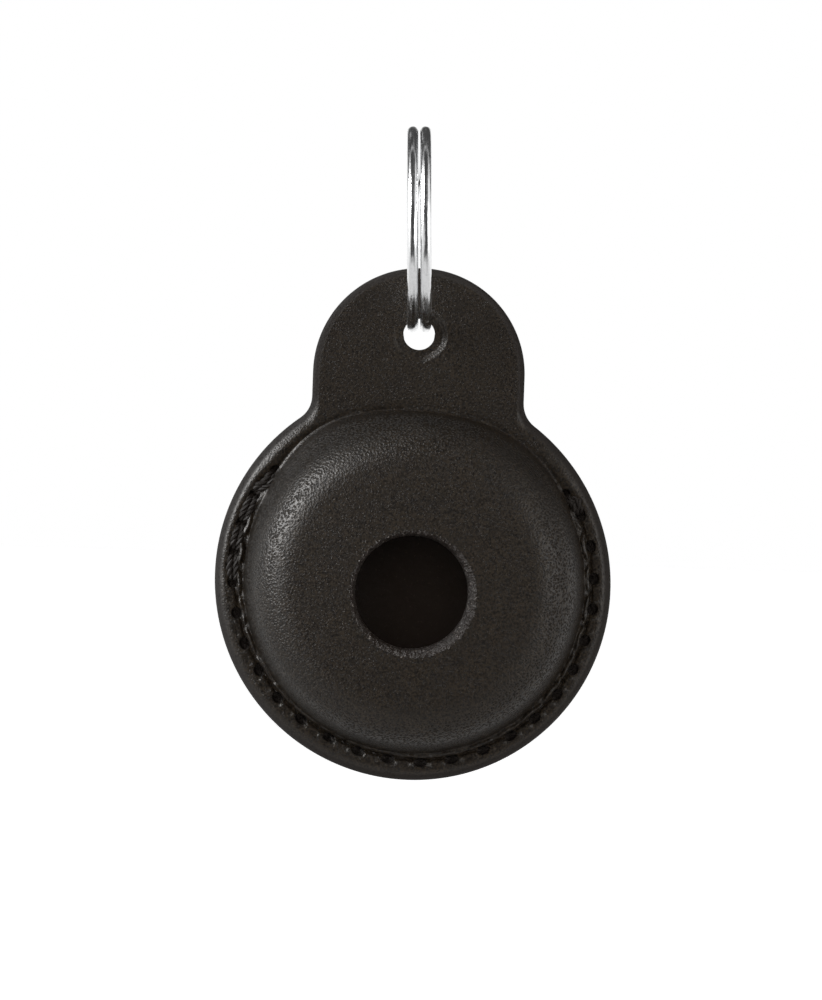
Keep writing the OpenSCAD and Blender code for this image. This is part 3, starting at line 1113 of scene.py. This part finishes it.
def leather_material(leather):
    """Dark satin leather: grain on the face with painted shade in its pits, a burnished edge,
    painted shade in the stitch holes, and raw fibres where cut or inside, with painted glints on
    the cut fibres' tips
    """
    if "tag_leather" in bpy.data.materials:
        return bpy.data.materials["tag_leather"]
    material, tree, shader = new_material("tag_leather")
    place = object_place(tree)
    pebbles = place_group(tree, pebble_group(), Vector=place, Size=0.24 * MM, Fine=1.5)
    pulled = place_group(tree, stretched_grain_group(), Vector=place, Reach=16 * MM,
                         Width=0.3 * MM, Length=0.4 * MM)
    mottle = place_group(tree, mottle_group(), Vector=place, Size=2.6 * MM)["Mottle"]
    fibres = place_group(tree, fibre_group(), Vector=place, Size=0.32 * MM)
    # The hole mark carries the painted shade deep in the stitch holes
    cut, inside, edge, hole = (mark(tree, name) for name in ("cut", "inside", "edge", "hole"))
    raw = maths(tree, "MAXIMUM", cut, inside)

    # The moulding pulled the grain out on the dome's shoulder, between its foot and its crown
    forward = times(tree, axes(tree, place)["Y"], -1.0)
    shoulder = times(tree, ramp(tree, forward, 2.0 * MM, 3.5 * MM),
                     ramp(tree, forward, 9.6 * MM, 8.2 * MM))
    on_shoulder = plus(tree, times(tree, pulled["Height"], 1.4),
                       times(tree, pebbles["Height"], 0.5))
    grain = ramp(tree, shoulder, 0.0, 1.0, pebbles["Height"], on_shoulder)
    drawn = times(tree, shoulder, pulled["Pits"])
    pits = maths(tree, "MAXIMUM", pebbles["Pits"], drawn)
    # Painted shade in the grain's pits, on the flat and on the shoulder, mixed with the dye's own
    # dark specks
    dark = maths(tree, "MAXIMUM", times(tree, drawn, 0.28),
                 maths(tree, "MAXIMUM", times(tree, pebbles["Pits"], 0.9), pebbles["Speckle"]))

    # Its colour: the dyed face with its own mottle and specks, painted shade in the grain's pits
    # and the stitch holes, and the fibres where it is cut or inside
    dyed = opaque(leather.grain_colour)
    for factor, shade in ((times(tree, mottle, 0.45), leather.pit_shade_and_dye_colour),
                          (dark, leather.pit_shade_and_dye_colour),
                          (edge, leather.edge_colour),
                          (hole, leather.hole_shade_colour)):
        dyed = blend_colours(tree, factor, dyed, opaque(shade))
    # On the cut the fibres' tips take the cut colour: their own lighter raw colour, brightened into
    # painted glints
    fibre = blend_colours(tree, cut, opaque(leather.flesh_colour), opaque(leather.cut_fibre_and_glint_colour))
    fibre = blend_colours(tree, fibres["Tips"], opaque(leather.fuzz_colour), fibre)
    tree.links.new(blend_colours(tree, raw, dyed, fibre), shader.inputs["Base Color"])

    # Its gloss and its relief
    satin, raw_satin, fibre_height = 0.36, 0.38, 13.0
    for amount, rougher in ((mottle, 0.06), (pits, ramp(tree, shoulder, 0.0, 1.0, 0.18, 0.5)),
                            (edge, 0.46), (hole, 0.4)):
        satin = plus(tree, satin, times(tree, amount, rougher))
    tree.links.new(ramp(tree, raw, 0.0, 1.0, satin, raw_satin), shader.inputs["Roughness"])
    worn = times(tree, grain, maths(tree, "SUBTRACT", 1.0, times(tree, edge, 0.4)))
    relief = ramp(tree, raw, 0.0, 1.0, worn, times(tree, fibres["Height"], fibre_height))
    raise_surface(tree, shader, relief, 0.016 * MM)
    shader.inputs["Specular IOR Level"].default_value = LOW_SPECULAR
    return material


def thread_material(thread):
    """Waxed thread: fuzzy fibres with wax between them, and painted shade where it runs deep into
    the leather
    """
    material, tree, shader = new_material("tag_thread")
    place = object_place(tree)
    fibres = place_group(tree, bpy.data.node_groups.get("Raw fibres") or fibre_group(),
                         Vector=place, Size=0.16 * MM)
    # Painted shade: the thread darkens where it runs deep into the leather, near the joint
    sunk_shade = ramp(tree, maths(tree, "ABSOLUTE", axes(tree, place)["Y"]), 1.3 * MM, 0.9 * MM)
    tinted = blend_colours(tree, fibres["Tips"], opaque(thread.wax_colour), opaque(thread.colour))
    tinted = blend_colours(tree, sunk_shade, tinted, opaque(thread.sunk_shade_colour))
    tree.links.new(tinted, shader.inputs["Base Color"])
    tree.links.new(ramp(tree, sunk_shade, 0.0, 1.0, 0.68, 0.9), shader.inputs["Roughness"])
    raise_surface(tree, shader, fibres["Height"], 0.03 * MM, 0.9)
    shader.inputs["Specular IOR Level"].default_value = LOW_SPECULAR
    return material


def ring_material(ring):
    """Bright plated wire with drawn lines and faint rub marks"""
    material, tree, shader = new_material("tag_ring")
    place = object_place(tree)
    from_middle = vector_maths(tree, "SUBTRACT", {0: place, 1: (EYE_CENTRE.x, 0, EYE_CENTRE.z)})[0]
    lines = place_group(tree, drawn_group(), Vector=from_middle, Width=0.2 * MM, Length=4 * MM)
    rub_scale, rub_share = 2600.0, 0.4
    rubs = clouds(tree, place, rub_scale, 4.0, 0.6)
    worn = plus(tree, lines["Lines"], times(tree, rubs, rub_share))
    tree.links.new(ramp(tree, worn, 0.6, 0.95, 0.08, 0.42), shader.inputs["Roughness"])
    raise_surface(tree, shader, worn, 0.026 * MM)
    dull = blend_colours(tree, ramp(tree, rubs, 0.45, 0.8, 0.0, 0.35), opaque(ring.colour),
                         opaque([0.6 * c for c in ring.colour]))
    tree.links.new(dull, shader.inputs["Base Color"])
    shader.inputs["Metallic"].default_value = 1
    return material


def floor_material(stage):
    """Pale floor that shows as white but keeps the holder's shadow"""
    material, tree, shader = new_material("stage_floor")
    shader.inputs["Base Color"].default_value = opaque(stage.floor_colour)
    shader.inputs["Roughness"].default_value = 0.8
    shader.inputs["Emission Color"].default_value = (1, 1, 1, 1)
    path = add_node(tree, "LightPath").outputs
    seen = maths(tree, "MAXIMUM", path["Is Camera Ray"], path["Is Glossy Ray"])
    tree.links.new(times(tree, seen, stage.floor_glow), shader.inputs["Emission Strength"])
    return material


# Operators


class TAGHOLDER_OT_front(bpy.types.Operator):
    """Adds the moulded front leather"""

    bl_idname = "tagholder.front"
    bl_label = "Front Leather"

    def execute(self, context):
        holder = context.scene.tag_holder
        mesh = leather_mesh(holder.leather, holder.seam, front_rings(holder.leather), True)
        finish_piece(mesh, "front_leather", "holder", "front_panel",
                     leather_material(holder.leather))
        return {"FINISHED"}


class TAGHOLDER_OT_back(bpy.types.Operator):
    """Adds the flat back leather"""

    bl_idname = "tagholder.back"
    bl_label = "Back Leather"

    def execute(self, context):
        holder = context.scene.tag_holder
        mesh = leather_mesh(holder.leather, holder.seam, back_rings(holder.leather), False)
        finish_piece(mesh, "back_leather", "holder", "back_panel",
                     leather_material(holder.leather), turn_over=True)
        return {"FINISHED"}


class TAGHOLDER_OT_thread(bpy.types.Operator):
    """Adds the thread that sews the two leathers together"""

    bl_idname = "tagholder.thread"
    bl_label = "Saddle Stitch"

    def execute(self, context):
        holder = context.scene.tag_holder
        seam, thread = holder.seam, holder.thread
        strayed = strays(seam)
        last = seam.holes - 1
        beside = thread.diameter * 0.47   # half the way between the strands of a double stitch
        front = strand(seam, thread, strayed, range(last), 1, beside)
        back = strand(seam, thread, strayed, range(last), -1, beside)
        ways = [list(reversed(back)) + front]
        for gaps in (range(seam.locked), range(last - seam.locked_end, last)):
            for side in (1, -1):
                ways.append(strand(seam, thread, strayed, gaps, side, -beside))
        ply = thread.diameter / (1 + 2 / math.sqrt(3)) / 2   # three touching rounds in one
        step, swelling, sides = 0.17 * MM, 1.16, 6
        paths = []
        for way in ways:
            paths += plies(resample(way, step), thread, ply * 2 / math.sqrt(3))
        data = swept("saddle_thread", paths, ply * swelling, sides)
        finish_object(data, "saddle_thread", "holder", "stitching_thread",
                      thread_material(thread))
        return {"FINISHED"}


class TAGHOLDER_OT_ring(bpy.types.Operator):
    """Adds the split ring"""

    bl_idname = "tagholder.ring"
    bl_label = "Split Ring"

    def execute(self, context):
        ring = context.scene.tag_holder.ring
        radius = (RING_BOX[1].y - RING_BOX[0].y) / 2 - ring.wire / 2
        half = (ring.wire + ring.coil_gap) / 2
        steps, sides = 620, 24
        first = ring.jog_start + ring.jog
        whole = 2 * (FULL_TURN - ring.jog) + ring.jog
        hang = EYE_AXIS.xz.angle_signed(Vector((1, 0)))
        lean = Matrix.Rotation(hang, 3, "Z")
        slip = context.scene.tag_holder.leather.hole_slip
        centre = Vector((EYE_CENTRE.x + slip[0], EYE_CENTRE.z + ring.lift, 0))
        path = []
        for k in range(steps + 1):
            turn = first + whole * k / steps
            crossed = min(1, max(0, (turn - ring.jog_start - FULL_TURN) / ring.jog))
            local = Vector((-half * math.cos(math.pi * crossed), radius * math.sin(turn),
                            -radius * math.cos(turn)))
            path.append(centre + lean @ local)
        data = swept("key_ring", [path], ring.wire / 2, sides)
        mesh = bmesh.new()
        mesh.from_mesh(data)
        caps = [edge for face in mesh.faces if len(face.verts) > 4 for edge in face.edges]
        bmesh.ops.bevel(mesh, geom=caps, offset=ring.bevel, segments=3, profile=0.5, affect="EDGES",
                        material=-1)
        mesh.to_mesh(data)
        mesh.free()
        finish_object(data, "key_ring", "ring", "split_ring", ring_material(ring))
        return {"FINISHED"}


class TAGHOLDER_OT_stage(bpy.types.Operator):
    """Adds the floor, the light and the camera"""

    bl_idname = "tagholder.stage"
    bl_label = "Stage"

    def execute(self, context):
        scene = context.scene
        stage = scene.tag_holder.stage
        scene.view_settings.view_transform = "Standard"
        self.floor(scene, stage)
        self.world(scene, stage)
        self.lamps(scene)
        self.camera(scene, stage)
        return {"FINISHED"}

    def floor(self, scene, stage):
        """A wide pale disc well under the holder"""
        radius, sides = 6, 128
        low = Matrix.Translation((0, 0, CAD_BOX[0].z - stage.drop))
        mesh = bmesh.new()
        bmesh.ops.create_circle(mesh, cap_ends=True, segments=sides, radius=radius, matrix=low)
        data = bpy.data.meshes.new("floor")
        mesh.to_mesh(data)
        mesh.free()
        data.materials.append(floor_material(stage))
        floor = bpy.data.objects.new("floor", data)
        floor.visible_glossy = False
        scene.collection.objects.link(floor)

    def world(self, scene, stage):
        """A white room. Polished and satin surfaces see it as white too, but for a dark slot that
        runs from the camera's stand up over the holder and down behind it."""
        world = bpy.data.worlds.new("studio")
        world.use_nodes = True
        scene.world = world
        tree = world.node_tree
        tree.nodes.clear()
        way = axes(tree, add_node(tree, "TexCoord").outputs["Generated"])
        aside, back, up = maths(tree, "ABSOLUTE", way["X"]), way["Y"], way["Z"]

        # Where the dark begins and ends, as parts of the way that a ray goes: 1 is straight there
        slot = times(tree, ramp(tree, aside, 0.74, 0.5), ramp(tree, back, 0.35, 0.1))
        slot = times(tree, slot, ramp(tree, up, -0.64, -0.5))
        behind = times(tree, ramp(tree, back, 0.12, 0.3), ramp(tree, up, 0.12, 0.3))
        white = ramp(tree, up, -0.45, -0.25, stage.table_light, 1.0)
        dark = maths(tree, "MAXIMUM", slot, behind)

        mirrored = ramp(tree, dark, 0.0, 1.0, white, stage.dark_light)
        path = add_node(tree, "LightPath").outputs
        strength = ramp(tree, path["Is Glossy Ray"], 0.0, 1.0, stage.room_light, mirrored)
        strength = ramp(tree, path["Is Camera Ray"], 0.0, 1.0, strength, 1.0)
        light = add_node(tree, "Background", {"Color": (1, 1, 1, 1), "Strength": strength})
        end = add_node(tree, "OutputWorld")
        tree.links.new(light.outputs[0], end.inputs["Surface"])

    def lamps(self, scene):
        """Two soft boxes for plain light, by the camera and at the upper left, one at the upper
        left for gloss alone, and a weak one at the right for both. All point at the disc."""
        for lamp in LAMPS:
            light = bpy.data.lights.new(lamp.name, "AREA")
            light.shape = "DISK"
            light.size, light.energy = lamp.size, lamp.power
            stand = bpy.data.objects.new(lamp.name, light)
            stand.location = lamp.place
            stand.rotation_euler = (-stand.location).to_track_quat("-Z", "Y").to_euler()
            stand.visible_diffuse, stand.visible_glossy = lamp.plain, lamp.gloss
            scene.collection.objects.link(stand)

    def camera(self, scene, stage):
        """The photograph's view: straight at the face, rolled so that the ring hangs plumb"""
        roll = math.atan2(EYE_AXIS.z, EYE_AXIS.x)
        right = Vector((math.cos(roll), 0, math.sin(roll)))
        up = Vector((-math.sin(roll), 0, math.cos(roll)))
        back = right.cross(up)
        off_disc = (PICTURE / 2 - DISC_AT) * stage.pixel
        aim = right * off_disc.x - up * off_disc.y
        data = bpy.data.cameras.new("camera")
        data.lens = data.sensor_width * stage.distance / (PICTURE.y * stage.pixel)
        data.clip_start, data.clip_end = 0.01, 20
        camera = bpy.data.objects.new("camera", data)
        turned = Matrix((right, up, back)).transposed().to_4x4()
        camera.matrix_world = Matrix.Translation(aim + back * stage.distance) @ turned
        scene.collection.objects.link(camera)
        scene.camera = camera


class TAGHOLDER_PT_panel(bpy.types.Panel):
    """Lists the holder's pieces in the sidebar"""

    bl_idname = "TAGHOLDER_PT_panel"
    bl_label = "Tag Holder"
    bl_space_type = "VIEW_3D"
    bl_region_type = "UI"
    bl_category = "Tag Holder"

    def draw(self, context):
        for operator in OPERATORS:
            self.layout.operator(operator.bl_idname)


OPERATORS = (TAGHOLDER_OT_stage, TAGHOLDER_OT_front, TAGHOLDER_OT_back, TAGHOLDER_OT_thread,
             TAGHOLDER_OT_ring)
CLASSES = (LeatherSettings, SeamSettings, ThreadSettings, RingSettings, StageSettings,
           HolderSettings, *OPERATORS, TAGHOLDER_PT_panel)


def register():
    """Adds the classes and the settings"""
    for made in CLASSES:
        bpy.utils.register_class(made)
    bpy.types.Scene.tag_holder = PointerProperty(type=HolderSettings)


def unregister():
    """Takes the settings and the classes away"""
    del bpy.types.Scene.tag_holder
    for made in reversed(CLASSES):
        bpy.utils.unregister_class(made)


def main():
    """Builds the stage and every piece"""
    register()
    bpy.ops.tagholder.stage()
    bpy.ops.tagholder.front()
    bpy.ops.tagholder.back()
    bpy.ops.tagholder.thread()
    bpy.ops.tagholder.ring()
    bpy.context.view_layer.update()


if __name__ == "__main__":
    main()
